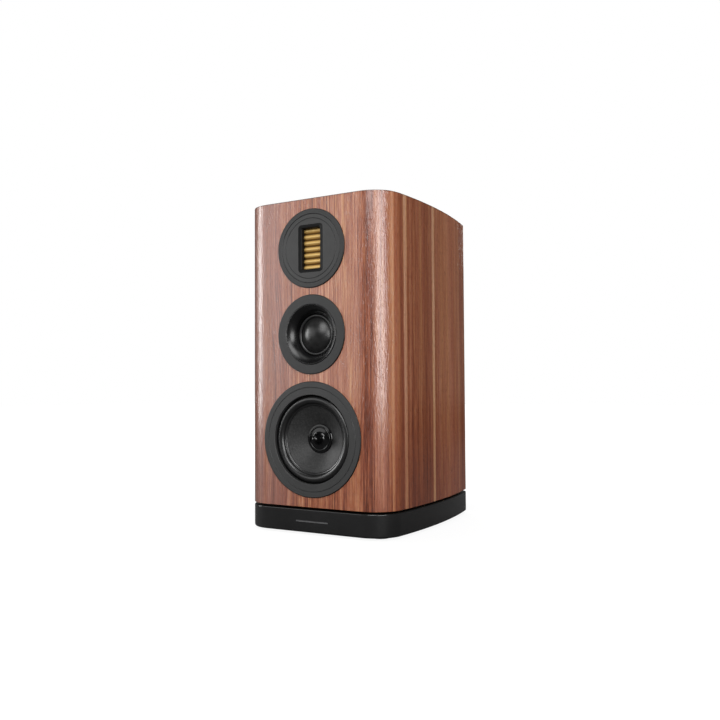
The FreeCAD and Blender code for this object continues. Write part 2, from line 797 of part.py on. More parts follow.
# ---- crossover, terminals and wiring ----
TAG_X = 7.0
TAG_HALF = 2.4
TAG_T = 0.8
TAG_ENDS = {                 # base and end of the spade tags along y, and their height
    "tweeter": (CUP_BACK, CUP_BACK + 8, TWEETER_Z),
    "mid": (MID_CUP_BACK, MID_CUP_BACK + 8, MID_Z),
    "woofer": (BASKET_BACK, BASKET_BACK + 10, WOOFER_Z + 44.5),
}


def driver_terminals():
    tags = []
    for base, end, z in TAG_ENDS.values():
        for sign in (-1, 1):
            x = sign * TAG_X
            tags.append(box((x - TAG_HALF, x + TAG_HALF), (base, end), (z - TAG_T / 2, z + TAG_T / 2)))
    return group(tags)


def crossover_board():
    board = box((-BOARD_HALF, BOARD_HALF), (BOARD_FRONT, BACK_PANEL_FRONT), BOARD_Z)
    return without_screws(board)


def crossover_inductors():
    """Air-core coils that stand on the board."""
    coils = []
    places = [(-36, 276, 19), (-36, 322, 17), (36, 292, 19), (38, 368, 15)]
    for x, z, outer in places:
        coil = rod(x, z, outer, BOARD_FRONT - 15, BOARD_FRONT)
        coils.append(coil.cut(rod(x, z, outer * 0.45, BOARD_FRONT - 16, BOARD_FRONT + 1)))
    return group(coils)


def crossover_capacitors():
    """Film capacitors that lie across the board."""
    cans = []
    places = [(-36, 352, 9.0, 36), (-36, 374, 8.0, 34), (34, 322, 9.0, 40), (34, 343, 7.5, 36)]
    for x, z, radius, length in places:
        start = Vector(x - length / 2, BOARD_FRONT - radius, z)
        can = Part.makeCylinder(radius, length, start, Vector(1, 0, 0))
        rims = edges_near(can, lambda c, e: abs(abs(c.x - x) - length / 2) < 0.01)
        cans.append(can.makeFillet(1.0, rims))
    return group(cans)


def crossover_resistors():
    """Ceramic-cased resistors."""
    cases = []
    for x, z in ((36, 257), (36, 268), (-36, 391), (32, 390)):
        cases.append(box((x - 15, x + 15), (BOARD_FRONT - 9, BOARD_FRONT), (z - 4.5, z + 4.5)))
    return group(cases)


def terminal_opening():
    return plate(90, 64, 6, TERMINAL_Z, BACK_PANEL_FRONT - 1, DEPTH + 1)


def terminal_plate():
    """Moulded plate over the opening in the back, with a raised collar round each post."""
    face = plate(112, 92, 8, TERMINAL_Z, BACK_FACE, PLATE_BACK)
    rim = edges_near(face, lambda c, e: abs(c.y - PLATE_BACK) < 0.01)
    face = face.makeFillet(1.5, rim)
    pieces = [face, plate(89, 63, 5.5, TERMINAL_Z, BOSS_FRONT, BACK_FACE)]
    pieces += [rod(x, z, 10.5, PLATE_BACK, COLLAR_BACK) for x, z in POSTS.values()]
    whole = joined(pieces)
    for x, z in POSTS.values():
        whole = whole.cut(rod(x, z, STUD_R, BOSS_FRONT - 1, COLLAR_BACK + 1))
    return without_screws(whole)


def binding_post_studs():
    studs = []
    for x, z in POSTS.values():
        stud = rod(x, z, STUD_R, BOSS_FRONT, STUD_BACK)
        rim = edges_near(stud, lambda c, e: abs(c.y - STUD_BACK) < 0.01)
        stud = stud.makeChamfer(0.4, rim)
        stud = joined([stud, rod(x, z, STUD_TAIL_R, STUD_FRONT, BOSS_FRONT)])
        studs.append(stud.cut(rod(x, z, SOCKET_R, STUD_BACK - SOCKET_DEPTH, STUD_BACK + 1)))
    return group(studs)


def binding_post_nuts():
    nuts = []
    across = 5.8
    for x, z in POSTS.values():
        corners = [math.pi * n / 3 for n in range(7)]
        points = [Vector(x + across * math.cos(a), BOSS_FRONT - NUT_H, z + across * math.sin(a)) for a in corners]
        nut = Part.Face(Part.makePolygon(points)).extrude(Vector(0, NUT_H, 0))
        nuts.append(nut.cut(rod(x, z, STUD_TAIL_R, BOSS_FRONT - NUT_H - 1, BOSS_FRONT + 1)))
    return group(nuts)


def jumper_links():
    """Flat links from the upper to the lower post of each polarity."""
    links = []
    for x in (-POST_X, POST_X):
        link = plate(13, 2 * POST_DZ + 13, 6.4, TERMINAL_Z, COLLAR_BACK, LINK_BACK)
        link.translate(Vector(x, 0, 0))
        for sign in (-1, 1):
            z = TERMINAL_Z + sign * POST_DZ
            link = link.cut(rod(x, z, STUD_R + FIT, COLLAR_BACK - 1, LINK_BACK + 1))
        links.append(link)
    return group(links)


def post_washer(x, z):
    disc = rod(x, z, 7.8, WASHER_FRONT, WASHER_FRONT + WASHER_T)
    return disc.cut(rod(x, z, STUD_R + RUNNING_GAP, WASHER_FRONT - 1, CAP_FRONT + 1))


def post_cap(x, z):
    """Fluted screw cap, open through its middle for a plug."""
    cap = rod(x, z, CAP_R, CAP_FRONT, CAP_BACK)
    ends = edges_near(cap, lambda c, e: min(abs(c.y - CAP_FRONT), abs(c.y - CAP_BACK)) < 0.01)
    cap = cap.makeFillet(0.8, ends)
    flutes = 12
    for n in range(flutes):
        angle = 2 * math.pi * n / flutes
        reach = CAP_R + 0.6
        groove = rod(x + reach * math.cos(angle), z + reach * math.sin(angle), 1.3, CAP_FRONT + 2.5, CAP_BACK + 1)
        cap = cap.cut(groove)
    return cap.cut(rod(x, z, STUD_R + RUNNING_GAP, CAP_FRONT - 1, CAP_BACK + 1))


def lead(points):
    """Round lead along straight runs joined by tangent arcs."""
    points = [Vector(*p) for p in points]
    edges = []
    here = points[0]
    length = 0.0
    radii = []
    for n in range(1, len(points) - 1):
        before = points[n - 1] - points[n]
        after = points[n + 1] - points[n]
        turn = math.pi - before.getAngle(after)
        shorter = min(before.Length, after.Length)
        trim = 0.45 * shorter
        radius = trim / math.tan(turn / 2)
        before.normalize()
        after.normalize()
        start = points[n] + before * trim
        end = points[n] + after * trim
        inward = before + after
        inward.normalize()
        middle = points[n] + inward * (radius / math.cos(turn / 2) - radius)
        edges.append(Part.LineSegment(here, start).toShape())
        edges.append(Part.Arc(start, middle, end).toShape())
        length += (start - here).Length + radius * turn
        radii.append(radius)
        here = end
    edges.append(Part.LineSegment(here, points[-1]).toShape())
    length += (points[-1] - here).Length
    path = Part.Wire(edges)
    section = Part.Wire(Part.Circle(points[0], points[1] - points[0], LEAD_R).toShape())
    tube = path.makePipeShell([section], True, False)
    ideal = math.pi * LEAD_R ** 2 * length
    print("lead %.0f mm, radii %s, volume ratio %.4f"
          % (length, " ".join("%.0f" % r for r in radii), tube.Volume / ideal))
    return tube


def driver_lead_points(name, x):
    """Sagging route from a driver's tag back to the board."""
    end = TAG_ENDS[name][1]
    z = TAG_ENDS[name][2]
    back = BOARD_FRONT
    if name == "tweeter":
        middle = [(98, z), (140, z - 14), (182, z - 20), (226, z - 12)]
        last = z - 12
    elif name == "mid":
        middle = [(136, z), (180, z - 10), (224, z - 3)]
        last = z - 3
    else:
        middle = [(88, z), (122, z + 7), (154, z + 26), (184, z + 55), (228, z + 82)]
        last = z + 82
    return [(x, end, z)] + [(x, y, height) for y, height in middle] + [(x, back, last)]


def input_lead_points(name):
    """Route from a binding post's tail up through the brace to the board."""
    x, z = POSTS[name]
    sign = 1 if x > 0 else -1
    out = x + sign * 9 if name.startswith("lf") else x - sign * 4
    rise = [(x, STUD_FRONT, z), (x, 249, z), (out, 236, z + 16)]
    steps = 2 if name.startswith("hf") else 3
    start = z + 16
    top = 226.0
    for n in range(1, steps + 1):
        sway = 1.5 if n % 2 else -1.5
        rise.append((out + sign * sway, 235 + sway, start + (top - start) * n / steps))
    return rise + [(out, 248, top + 20), (out, BOARD_FRONT, top + 20)]


def wiring_harness():
    leads = []
    for name in DRIVERS:
        for sign in (-1, 1):
            leads.append(lead(driver_lead_points(name, sign * TAG_X)))
    for name in POSTS:
        leads.append(lead(input_lead_points(name)))
    return group(leads)


# ---- every node ----
def all_nodes():
    nodes = {
        "front_baffle": front_baffle(),
        "side_panels": side_panels(),
        "top_panel": top_panel(),
        "bottom_panel": bottom_panel(),
        "back_panel": back_panel(),
        "shelf_brace": shelf_brace(),
        "walnut_wrap": walnut_wrap(),
        "walnut_top": walnut_top(),
        "walnut_back": walnut_back(),
        "port_tube": port_tube(),
        "plinth_body": plinth_body(),
        "plinth_spacers": plinth_spacers(),
        "plinth_bolts": plinth_bolts(),
        "rubber_feet": rubber_feet(),
        "badge_bar": badge_bar(),
        "tweeter_trim_ring": trim_ring(TWEETER_Z, 47.0, 54.0, None),
        "tweeter_faceplate": tweeter_faceplate(),
        "tweeter_window_frame": tweeter_window_frame(),
        "tweeter_diaphragm": tweeter_diaphragm(),
        "tweeter_magnets": tweeter_magnets(),
        "tweeter_housing": tweeter_housing(),
        "tweeter_rear_cup": tweeter_rear_cup(),
        "mid_trim_ring": trim_ring(MID_Z, 41.0, 54.0, None),
        "mid_horn": mid_horn(),
        "mid_dome": mid_dome(),
        "mid_surround": mid_surround(),
        "mid_voice_coil": mid_voice_coil(),
        "mid_top_plate": mid_top_plate(),
        "mid_magnet": mid_magnet(),
        "mid_yoke": mid_yoke(),
        "mid_rear_chamber": mid_rear_chamber(),
        "woofer_trim_ring": trim_ring(WOOFER_Z, WOOFER_INNER_TRIM, 78.0, 70.0),
        "woofer_basket": woofer_basket(),
        "woofer_surround": woofer_surround(),
        "woofer_cone": woofer_cone(),
        "woofer_centre_cap": woofer_centre_cap(),
        "woofer_voice_coil": woofer_voice_coil(),
        "woofer_spider": woofer_spider(),
        "woofer_top_plate": woofer_top_plate(),
        "woofer_magnet": woofer_magnet(),
        "woofer_yoke": woofer_yoke(),
        "cabinet_screws": cabinet_screws(),
        "driver_terminals": driver_terminals(),
        "crossover_board": crossover_board(),
        "crossover_inductors": crossover_inductors(),
        "crossover_capacitors": crossover_capacitors(),
        "crossover_resistors": crossover_resistors(),
        "terminal_plate": terminal_plate(),
        "binding_post_studs": binding_post_studs(),
        "binding_post_nuts": binding_post_nuts(),
        "jumper_links": jumper_links(),
        "wiring_harness": wiring_harness(),
    }
    for name, (x, z) in POSTS.items():
        nodes["post_washer_" + name] = post_washer(x, z)
        nodes["post_cap_" + name] = post_cap(x, z)
    return nodes


os.makedirs("parts", exist_ok=True)
for node, shape in all_nodes().items():
    shape.translate(Vector(0, SHIFT_Y, 0))
    shape.exportStep("parts/" + node + ".step")
    print("%-24s valid %s solids %d volume %.0f"
          % (node, shape.isValid(), len(shape.Solids), shape.Volume))
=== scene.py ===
import math

import bmesh
import bpy
from mathutils import Matrix, Vector
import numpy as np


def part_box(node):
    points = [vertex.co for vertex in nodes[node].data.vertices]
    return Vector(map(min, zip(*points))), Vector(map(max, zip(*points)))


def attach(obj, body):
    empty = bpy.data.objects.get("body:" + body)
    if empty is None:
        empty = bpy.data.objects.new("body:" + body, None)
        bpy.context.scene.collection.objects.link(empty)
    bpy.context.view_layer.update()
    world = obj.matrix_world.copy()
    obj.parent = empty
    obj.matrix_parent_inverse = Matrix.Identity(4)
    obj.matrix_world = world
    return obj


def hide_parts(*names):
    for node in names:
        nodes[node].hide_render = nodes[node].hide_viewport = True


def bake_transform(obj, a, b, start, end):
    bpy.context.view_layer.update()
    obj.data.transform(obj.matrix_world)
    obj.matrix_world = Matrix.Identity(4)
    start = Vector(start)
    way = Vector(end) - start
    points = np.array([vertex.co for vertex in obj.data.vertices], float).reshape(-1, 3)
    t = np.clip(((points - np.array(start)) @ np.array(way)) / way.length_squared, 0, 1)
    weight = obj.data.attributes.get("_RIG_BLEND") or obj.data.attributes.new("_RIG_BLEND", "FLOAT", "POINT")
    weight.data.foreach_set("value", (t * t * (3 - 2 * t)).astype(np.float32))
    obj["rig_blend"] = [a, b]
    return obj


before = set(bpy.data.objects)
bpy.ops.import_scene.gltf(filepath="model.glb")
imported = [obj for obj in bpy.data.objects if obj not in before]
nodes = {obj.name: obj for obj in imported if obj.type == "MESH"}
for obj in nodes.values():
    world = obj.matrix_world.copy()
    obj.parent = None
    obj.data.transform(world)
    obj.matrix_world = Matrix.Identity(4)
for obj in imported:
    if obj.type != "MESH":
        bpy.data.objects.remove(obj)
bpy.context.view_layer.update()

MM = 0.001

# ---- places read from the frame ----
FRONT_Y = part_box("walnut_wrap")[0].y
TOP_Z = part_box("walnut_top")[1].z


def axis_height(node):
    """Height of a round part's axis."""
    low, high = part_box(node)
    return (low.z + high.z) / 2


TWEETER_Z = axis_height("tweeter_trim_ring")
MID_Z = axis_height("mid_trim_ring")
WOOFER_Z = axis_height("woofer_trim_ring")


# ---- camera ----
TARGET = Vector((76.7 * MM, FRONT_Y, 233.1 * MM))
CAMERA_AZIMUTH = math.radians(30.891)
CAMERA_ELEVATION = math.radians(-2.057)
CAMERA_ROLL = math.radians(-0.309)
CAMERA_DISTANCE = 1.0466
CAMERA_LENS = 40.295


def direction(azimuth, elevation):
    """Unit vector from the object towards a place round it.  Azimuth 0 is straight in front."""
    flat = math.cos(elevation)
    return Vector((math.sin(azimuth) * flat, -math.cos(azimuth) * flat, math.sin(elevation)))


def link(thing):
    bpy.context.scene.collection.objects.link(thing)
    return thing


def make_camera():
    data = bpy.data.cameras.new("camera")
    data.lens = CAMERA_LENS
    data.sensor_width = 36.0
    data.clip_start = 0.05
    camera = link(bpy.data.objects.new("camera", data))
    back = direction(CAMERA_AZIMUTH, CAMERA_ELEVATION)
    level = (-back).cross(Vector((0, 0, 1))).normalized()
    upright = level.cross(-back)
    right = level * math.cos(CAMERA_ROLL) + upright * math.sin(CAMERA_ROLL)
    up = upright * math.cos(CAMERA_ROLL) - level * math.sin(CAMERA_ROLL)
    turn = Matrix((right, up, back)).transposed().to_4x4()
    camera.matrix_world = Matrix.Translation(TARGET + back * CAMERA_DISTANCE) @ turn
    bpy.context.scene.camera = camera


# ---- studio ----
# Azimuth and elevation of the middle, how wide and how tall it looks from the object (degrees),
# distance (metres) and brightness.
SOFTBOXES = {
    "softbox_right": (52, 9.5, 30, 27, 1.6, 7.8),
    "softbox_left": (-65, 8.5, 18, 27, 1.6, 8.6),
    "softbox_front": (16, 36, 26, 40, 1.9, 5.2),
    "softbox_fill": (-34, 12, 30, 30, 2.1, 1.45),
    "softbox_top": (0, 84, 40, 40, 1.7, 1.3),
    "softbox_back": (206, 30, 40, 34, 1.9, 2.6),
}
WORLD_GREY = 0.06        # for what the camera doesn't see directly


def make_softbox(name, azimuth, elevation, width, height, distance, brightness):
    """Rectangular area light that faces the middle of the object."""
    data = bpy.data.lights.new(name, "AREA")
    data.shape = "RECTANGLE"
    data.size = 2 * distance * math.tan(math.radians(width / 2))
    data.size_y = 2 * distance * math.tan(math.radians(height / 2))
    data.energy = brightness * math.pi * data.size * data.size_y
    light = link(bpy.data.objects.new(name, data))
    back = direction(math.radians(azimuth), math.radians(elevation))
    light.location = Vector((0, 0, 0.23)) + back * distance
    light.rotation_mode = "QUATERNION"
    light.rotation_quaternion = (-back).to_track_quat("-Z", "Y")
    light.visible_camera = False


def make_world():
    """White behind the object, and a dim grey for what lights it and shows in its gloss."""
    world = bpy.data.worlds.new("studio")
    bpy.context.scene.world = world
    world.use_nodes = True
    tree = world.node_tree
    background = tree.nodes["Background"]
    background.inputs["Color"].default_value = (1, 1, 1, 1)
    path = tree.nodes.new("ShaderNodeLightPath")
    strength = tree.nodes.new("ShaderNodeMapRange")
    strength.inputs["To Min"].default_value = WORLD_GREY
    strength.inputs["To Max"].default_value = 1.0
    tree.links.new(path.outputs["Is Camera Ray"], strength.inputs["Value"])
    tree.links.new(strength.outputs["Result"], background.inputs["Strength"])
    bpy.context.scene.view_settings.view_transform = "Standard"


def make_floor():
    """Matt paper floor.  It is bright to the camera, and brighter away from the object, so that it
    runs out into the white behind."""
    size = 8.0
    mesh = bpy.data.meshes.new("floor")
    corners = [(-size, -size, 0), (size, -size, 0), (size, size, 0), (-size, size, 0)]
    mesh.from_pydata(corners, [], [(0, 1, 2, 3)])
    floor = link(bpy.data.objects.new("floor", mesh))
    shader = Shader("floor_paper")
    x, y, _ = shader.axes()
    away = shader.math("SQRT", shader.math("MULTIPLY_ADD", x, x, shader.math("MULTIPLY", y, y)))
    speckle = shader.noise(shader.object_point(), 900.0, 3.0)
    shader.set("Base Color", shader.ramp(speckle, [(0.3, 0.09), (0.7, 0.11)]))
    shader.set("Roughness", 0.9)
    shader.set("Specular IOR Level", 0.2)
    shader.set("Emission Color", (1, 1, 1, 1))
    glow = shader.remap(away, 0.2, 0.9, 0.91, 1.1)
    seen = shader.add("ShaderNodeLightPath", {}).outputs["Is Camera Ray"]
    shader.set("Emission Strength", shader.math("MULTIPLY", seen, glow))
    mesh.materials.append(shader.material)


# ---- shader helper ----
def colour(value):
    """Four channels from one or three."""
    if not hasattr(value, "__len__"):
        value = (value,) * 3
    return tuple(value) + (1.0,) if len(value) == 3 else tuple(value)


class Shader:
    """A principled material under construction."""

    def __init__(self, name):
        self.material = bpy.data.materials.new(name)
        self.material.use_nodes = True
        self.tree = self.material.node_tree
        self.bsdf = self.tree.nodes["Principled BSDF"]
        self.point_socket = None
        self.axis_sockets = None

    def put(self, socket, value):
        """Links a socket to a socket, or sets its constant."""
        if isinstance(value, bpy.types.NodeSocket):
            self.tree.links.new(value, socket)
        else:
            socket.default_value = value

    def add(self, kind, inputs, **settings):
        node = self.tree.nodes.new(kind)
        for key, value in settings.items():
            setattr(node, key, value)
        for key, value in inputs.items():
            self.put(node.inputs[key], value)
        return node

    def set(self, name, value):
        self.put(self.bsdf.inputs[name], value)

    def object_point(self):
        if self.point_socket is None:
            self.point_socket = self.add("ShaderNodeTexCoord", {}).outputs["Object"]
        return self.point_socket

    def axes(self):
        """x, y and z of the point."""
        if self.axis_sockets is None:
            self.axis_sockets = self.add("ShaderNodeSeparateXYZ", {0: self.object_point()}).outputs
        return self.axis_sockets

    def point(self, x, y, z):
        return self.add("ShaderNodeCombineXYZ", {0: x, 1: y, 2: z}).outputs[0]

    def math(self, operation, a, b=0.0, c=0.0):
        node = self.add("ShaderNodeMath", {0: a, 1: b, 2: c}, operation=operation)
        return node.outputs[0]

    def wave(self, place, period):
        """Sine wave along a place."""
        return self.math("SINE", self.math("MULTIPLY", place, math.tau / period))

    def from_place(self, value, place):
        """Distance of a value from a place, whichever side it is on."""
        return self.math("ABSOLUTE", self.math("SUBTRACT", value, place))

    def noise(self, vector, scale, detail=2.0, roughness=0.5):
        inputs = {"Vector": vector, "Scale": scale, "Detail": detail, "Roughness": roughness}
        return self.add("ShaderNodeTexNoise", inputs).outputs[0]

    def stretch(self, factors):
        """The point with each axis scaled on its own."""
        inputs = {"Vector": self.object_point(), "Scale": factors}
        return self.add("ShaderNodeMapping", inputs).outputs[0]

    def ramp(self, value, stops):
        node = self.add("ShaderNodeValToRGB", {0: value})
        band = node.color_ramp
        while len(band.elements) < len(stops):
            band.elements.new(1.0)
        for element, (place, tone) in zip(band.elements, stops):
            element.position = place
            element.color = colour(tone)
        return node.outputs[0]

    def remap(self, value, low, high, new_low, new_high):
        """Moves a value from one range to another, and stops it at the ends."""
        node = self.add("ShaderNodeMapRange", {"Value": value, "From Min": low, "From Max": high})
        for key, limit in (("To Min", new_low), ("To Max", new_high)):
            self.put(node.inputs[key], limit)
        return node.outputs[0]

    def blend(self, share, a, b, kind="MIX"):
        """Mixes two colours."""
        node = self.add("ShaderNodeMix", {0: share}, data_type="RGBA", blend_type=kind)
        for socket, value in ((node.inputs[6], a), (node.inputs[7], b)):
            self.put(socket, value if isinstance(value, bpy.types.NodeSocket) else colour(value))
        return node.outputs[2]

    def bump(self, height, depth, strength=1.0):
        """Relief of so many metres, laid over any relief set before."""
        inputs = {"Height": height, "Distance": depth, "Strength": strength}
        node = self.add("ShaderNodeBump", inputs)
        before = self.bsdf.inputs["Normal"]
        if before.is_linked:
            self.put(node.inputs["Normal"], before.links[0].from_socket)
        self.put(before, node.outputs[0])

    def radius_from(self, height):
        """Distance from a driver's axis."""
        x, _, z = self.axes()
        rise = self.math("SUBTRACT", z, height)
        squares = self.math("MULTIPLY_ADD", x, x, self.math("MULTIPLY", rise, rise))
        return self.math("SQRT", squares)


# ---- walnut ----
WOOD_TONES = [
    (0.0, (0.070, 0.017, 0.008)),
    (0.2, (0.165, 0.040, 0.019)),
    (0.4, (0.290, 0.088, 0.040)),
    (0.6, (0.403, 0.170, 0.087)),
    (0.8, (0.530, 0.270, 0.155)),
    (1.0, (0.670, 0.410, 0.260)),
]
# Streaks of the wrapped sheet: place in millimetres from the middle of the front, round the corner
# on to the side, half width, and how much lighter or darker.
STREAKS = [
    (-250, 5, 0.24), (-168, 7, 0.22), (-118, 12, -0.14), (-58, 24, -0.07),
    (22, 4, -0.05), (34, 4, -0.12), (48, 5, 0.06), (57, 5, -0.10), (66, 14, 0.10),
    (90, 8, -0.20), (110, 10, 0.10), (137, 4, 0.16), (149, 11, -0.04), (168, 6, 0.46),
    (192, 16, -0.08), (230, 18, -0.06), (252, 5.5, 0.42),
    (306, 8, 0.08), (334, 5, 0.06), (351, 4, 0.12), (364, 8, -0.12),
]
FRONT_TONE = 0.440       # lightness of the sheet's front, of its sides, and the painted light that its far ends add
SIDE_TONE = 0.455
FAR_PAINTED_LIGHT = 0.18
PLAIN_TONE = 0.56        # lightness of the top and the back
TAN = (1.02, 1.03, 0.89)  # the two casts that its stripes alternate between
ROSE = (0.98, 0.93, 0.98)
# painted light: the cast that makes the far ends redder
FAR_PAINTED_CAST = (1.32, 1.06, 1.0)
# painted sheen: grey-pink blended over the left of the front
LEFT_SHEEN_GREY = (0.33, 0.22, 0.21)
PORE = (0.030, 0.011, 0.007)
# painted shade: dark line along the top edge of the wrapped sheet
TOP_EDGE_SHADE = (0.040, 0.015, 0.009)


class Veneer(Shader):
    """Straight-grained walnut veneer.  across and along are the two directions in the sheet, in
    metres."""

    def __init__(self, name, across_of, along_of):
        super().__init__(name)
        x, y, z = self.axes()
        self.across = across_of(self, x, y)
        self.along = along_of(y, z)
        self.bent = self.across

    def sway(self, amount):
        """Lets the grain wander sideways by up to half the amount."""
        place = self.point(self.math("MULTIPLY", self.across, 5.0), 0.0, self.along)
        slow = self.math("SUBTRACT", self.noise(place, 3.4, 2.0), 0.5)
        self.bent = self.math("MULTIPLY_ADD", slow, amount, self.across)

    def drawn_out(self, width, length, detail=2.0, shift=0.0):
        """Noise drawn out along the grain, width and length in metres.  Each shift gives another
        pattern."""
        across = self.math("DIVIDE", self.bent, width)
        along = self.math("DIVIDE", self.along, length)
        return self.noise(self.point(across, shift, along), 1.0, detail, 0.6)

    def add_noise(self, tone, noise, amount, strength=1.0):
        """Adds a noise to the tone, counted from the noise's middle value."""
        centred = self.math("MULTIPLY_ADD", noise, amount, -amount / 2)
        return self.math("MULTIPLY_ADD", centred, strength, tone)


def plain_plan(sheet):
    """Tone of a small sheet, how strong its broad figure and its fine lines are, and how much painted
    shade darkens its foot.  They are the same all over it."""
    return PLAIN_TONE, 0.8, 1.0, 0.0


def wrapped_plan(sheet):
    """The same four for the wrapped sheet, which change from its front to its far ends."""
    far = sheet.math("ABSOLUTE", sheet.bent)
    tone = sheet.remap(far, 0.120, 0.180, FRONT_TONE, SIDE_TONE)
    # Painted light: lighter towards the far ends, on the rear of the sides.
    tone = sheet.math("ADD", tone, sheet.remap(far, 0.220, 0.330, 0.0, FAR_PAINTED_LIGHT))
    for place, half, change in STREAKS:
        off = sheet.from_place(sheet.bent, place * MM)
        streak = sheet.remap(off, half * MM, half * 0.45 * MM, 0.0, change)
        tone = sheet.math("ADD", tone, streak)
    broad = sheet.remap(far, 0.165, 0.200, 1.1, 0.45)
    left = sheet.remap(sheet.across, -0.02, -0.05, 1.0, 0.6)
    fine = sheet.math("MULTIPLY", left, sheet.remap(far, 0.092, 0.118, 1.0, 0.5))
    # Painted shade at the foot: darker towards the floor, more on the sides than on the front.
    foot_shade = sheet.remap(far, 0.085, 0.150, -0.07, -0.20)
    return tone, broad, fine, foot_shade


def wood_tone(sheet, plan, lines, fibres, flecks):
    """Lightness of the wood from its figure, veins, lines, fibres and flecks, with painted shade at its
    foot.
    """
    tone, broad, fine, foot_shade = plan(sheet)
    patches = sheet.drawn_out(0.035, 0.35, 1.0, 29.0)
    strength = sheet.math("MULTIPLY", sheet.remap(patches, 0.35, 0.65, 0.75, 1.45), fine)
    tone = sheet.add_noise(tone, sheet.drawn_out(0.016, 0.9, 3.0), 0.66, broad)
    tone = sheet.add_noise(tone, lines, 0.85, strength)
    veins = sheet.drawn_out(0.0042, 0.60, 2.0, 51.0)
    dark_vein = sheet.remap(veins, 0.41, 0.33, 0.0, -0.20)
    light_vein = sheet.remap(veins, 0.60, 0.68, 0.0, 0.16)
    for vein in (dark_vein, light_vein):
        tone = sheet.math("MULTIPLY_ADD", vein, strength, tone)
    # Painted shade: darkest at the bottom, fading out 0.2 m up.
    tone = sheet.math("ADD", tone, sheet.remap(sheet.along, 0.035, 0.20, foot_shade, 0.0))
    tone = sheet.add_noise(tone, fibres, 1.25, strength)
    return sheet.add_noise(tone, flecks, 0.30)


def wrapped_casts(sheet, base, lines):
    """Painted light: redder far ends, for light on the rear of the sides, and a painted grey-pink sheen on
    the left of the front.
    """
    far = sheet.math("ABSOLUTE", sheet.bent)
    # Painted light: the far ends turn redder.
    base = sheet.blend(sheet.remap(far, 0.24, 0.33, 0.0, 1.0), base, FAR_PAINTED_CAST, "MULTIPLY")
    # Painted sheen: grey-pink on the left of the front, strongest along the lines.
    left_sheen = sheet.remap(sheet.across, -0.01, -0.06, 0.0, 0.55)
    left_sheen = sheet.math("MULTIPLY", left_sheen, sheet.remap(sheet.across, -0.15, -0.09, 0.3, 1.0))
    return sheet.blend(sheet.math("MULTIPLY", left_sheen, lines), base, LEFT_SHEEN_GREY)


def walnut(name, across_of, along_of, wrapped=False):
    """Walnut veneer under satin lacquer.  The wrapped sheet goes round the front and the sides."""
    sheet = Veneer(name, across_of, along_of)
    sheet.sway(sheet.remap(sheet.across, -0.005, -0.06, 0.003, 0.040) if wrapped else 0.012)
    lines = sheet.drawn_out(0.0062, 0.45, 2.0, 7.0)
    fibres = sheet.drawn_out(0.0015, 0.060, 3.0, 13.0)
    flecks = sheet.drawn_out(0.0014, 0.010, 2.0, 17.0)
    pore = sheet.remap(sheet.drawn_out(0.00045, 0.009, 1.0, 21.0), 0.60, 0.70, 0.0, 1.0)
    plan = wrapped_plan if wrapped else plain_plan
    base = sheet.ramp(wood_tone(sheet, plan, lines, fibres, flecks), WOOD_TONES)
    cast = sheet.ramp(sheet.drawn_out(0.0062, 0.5, 2.0, 37.0), [(0.40, TAN), (0.60, ROSE)])
    base = sheet.blend(1.0, base, cast, "MULTIPLY")
    if wrapped:
        base = wrapped_casts(sheet, base, lines)
    base = sheet.blend(sheet.math("MULTIPLY", pore, 0.5), base, PORE)
    if wrapped:
        # Painted shade: a dark line along the top edge.
        height = sheet.axes()[2]
        rim = sheet.remap(height, TOP_Z - 1.5 * MM, TOP_Z - 0.5 * MM, 0.0, 0.8)
        base = sheet.blend(rim, base, TOP_EDGE_SHADE)
    sheet.set("Base Color", base)
    sheet.set("Roughness", sheet.remap(flecks, 0.3, 0.7, 0.26, 0.48))
    sheet.set("Coat Weight", 0.9)
    sheet.set("Coat Roughness", 0.14)
    sheet.bump(sheet.drawn_out(0.0026, 0.014, 1.0, 43.0), 0.00042, 0.8)
    sheet.bump(fibres, 0.00012, 0.6)
    sheet.bump(flecks, 0.00014, 0.6)
    sheet.bump(sheet.math("SUBTRACT", 1.0, pore), 0.00010, 0.6)
    sheet.set("Coat Normal", sheet.bsdf.inputs["Normal"].links[0].from_socket)
    return sheet.material


def round_the_front(shader, x, y):
    """Place across the sheet, measured from the middle of the front round either corner."""
    depth = shader.math("MAXIMUM", shader.math("SUBTRACT", y, FRONT_Y), 0.0)
    return shader.math("MULTIPLY_ADD", shader.math("SIGN", x), depth, x)


def walnut_materials():
    """Wrapped, back and top sheets.  The two small ones are moved off to wood of their own."""
    wrap = walnut("walnut_wrap_sheet", round_the_front, lambda y, z: z, wrapped=True)
    back = walnut("walnut_back_sheet", lambda sheet, x, y: sheet.math("ADD", x, 3.1), lambda y, z: z)
    top = walnut("walnut_top_sheet", lambda sheet, x, y: sheet.math("ADD", x, 5.7), lambda y, z: y)
    return wrap, back, top


# ---- other materials ----
TRIM_GREY = (0.017, 0.0172, 0.0172)
FACE_GREY = (0.026, 0.0262, 0.0262)
WOOFER_GREY = (0.027, 0.0272, 0.0272)


